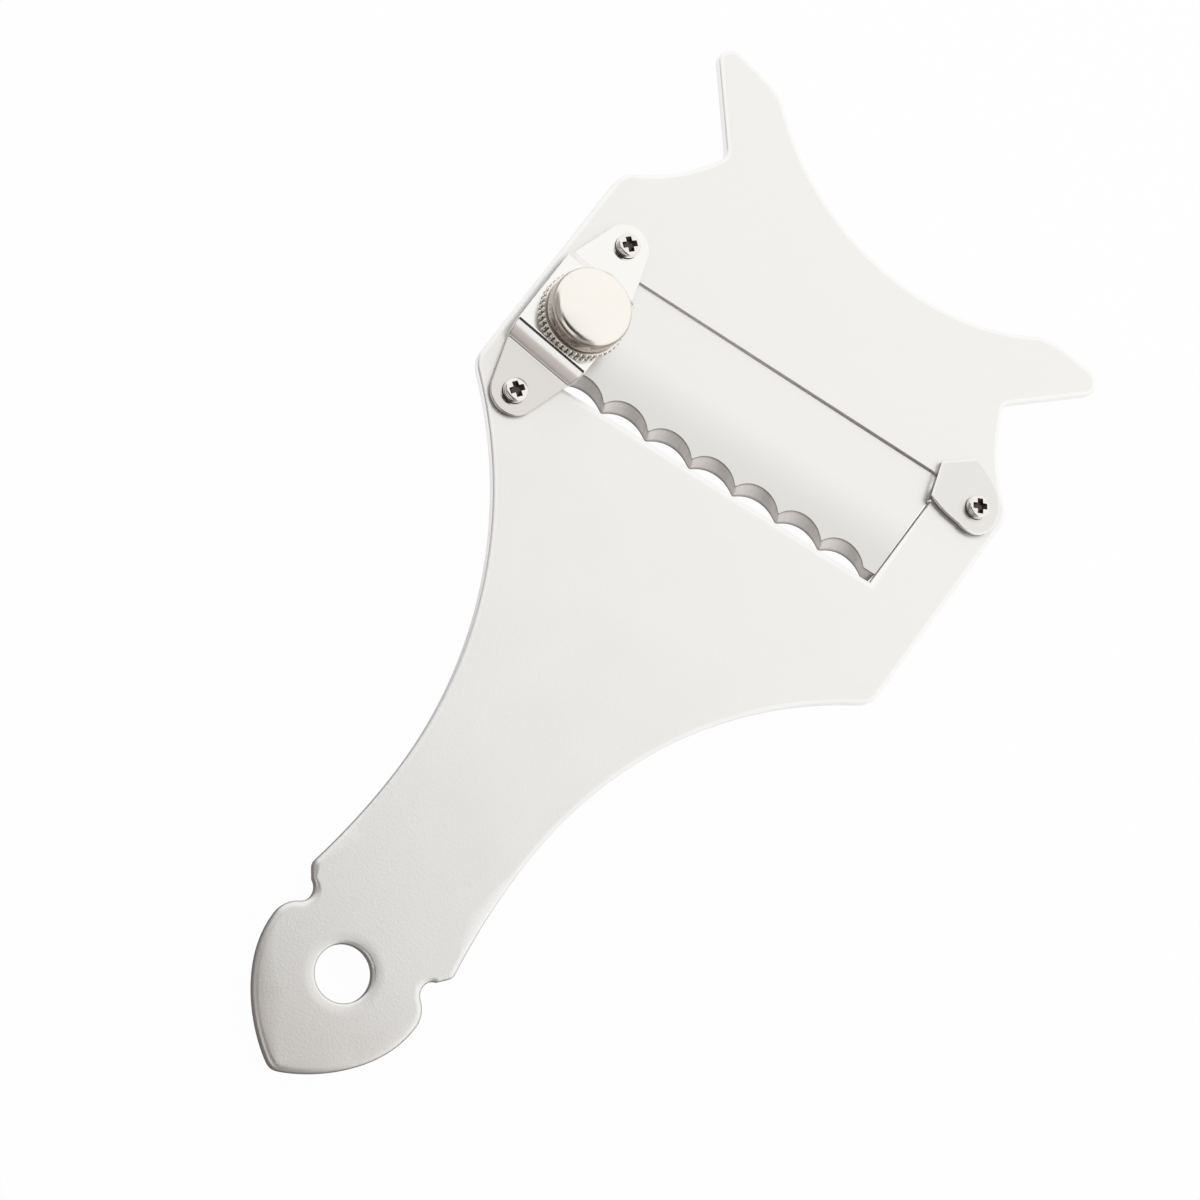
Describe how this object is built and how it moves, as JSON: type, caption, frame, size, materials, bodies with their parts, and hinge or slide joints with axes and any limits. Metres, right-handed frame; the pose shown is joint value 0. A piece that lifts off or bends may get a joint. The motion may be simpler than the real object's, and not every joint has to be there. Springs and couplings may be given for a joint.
{
  "type": "hand_slicer",
  "caption": "All-steel hand slicer for hard cheese, chocolate and truffle: stamped plate with handle, horned head and an adjustable wavy blade under a bridge with a knurled knob",
  "frame": {"origin": "on the plate's back face, at the middle of its length and width", "axes": "+Y runs along the plate from the handle's tip to the horns, +X to the right seen from the front, +Z out of the front, where the knob is"},
  "size_m": [0.0968, 0.2048, 0.0122],
  "materials": {
    "satin_steel": "satin-blasted stainless steel",
    "polished_steel": "polished stainless steel",
    "nickel": "bright nickel plating"
  },
  "bodies": {
    "root": {"body_plate": "satin_steel", "blade_ear": "satin_steel", "bridge_bracket": "polished_steel", "bridge_screw_lower": "nickel", "bridge_screw_upper": "nickel", "blade_screw": "nickel"},
    "knob": {"adjusting_knob": "nickel", "adjusting_screw": "polished_steel"},
    "blade": {"cutting_blade": "satin_steel", "blade_nut": "polished_steel"}
  },
  "joints": [
    {"name": "knob_turn", "type": "hinge", "parent": "root", "child": "knob", "pos_m": [-0.0378, 0.0364, 0.0056], "axis": [0, 0, 1], "range_deg": [0, 1080]},
    {"name": "blade_lift", "type": "hinge", "parent": "root", "child": "blade", "pos_m": [0.03262, 0.06136, 0.0007], "axis": [0.3071, -0.9517, 0], "range_deg": [0, 1.62]}
  ],
  "couplings": [
    {"joint": "blade_lift", "follows": "knob_turn", "ratio": 0.001492}
  ]
}
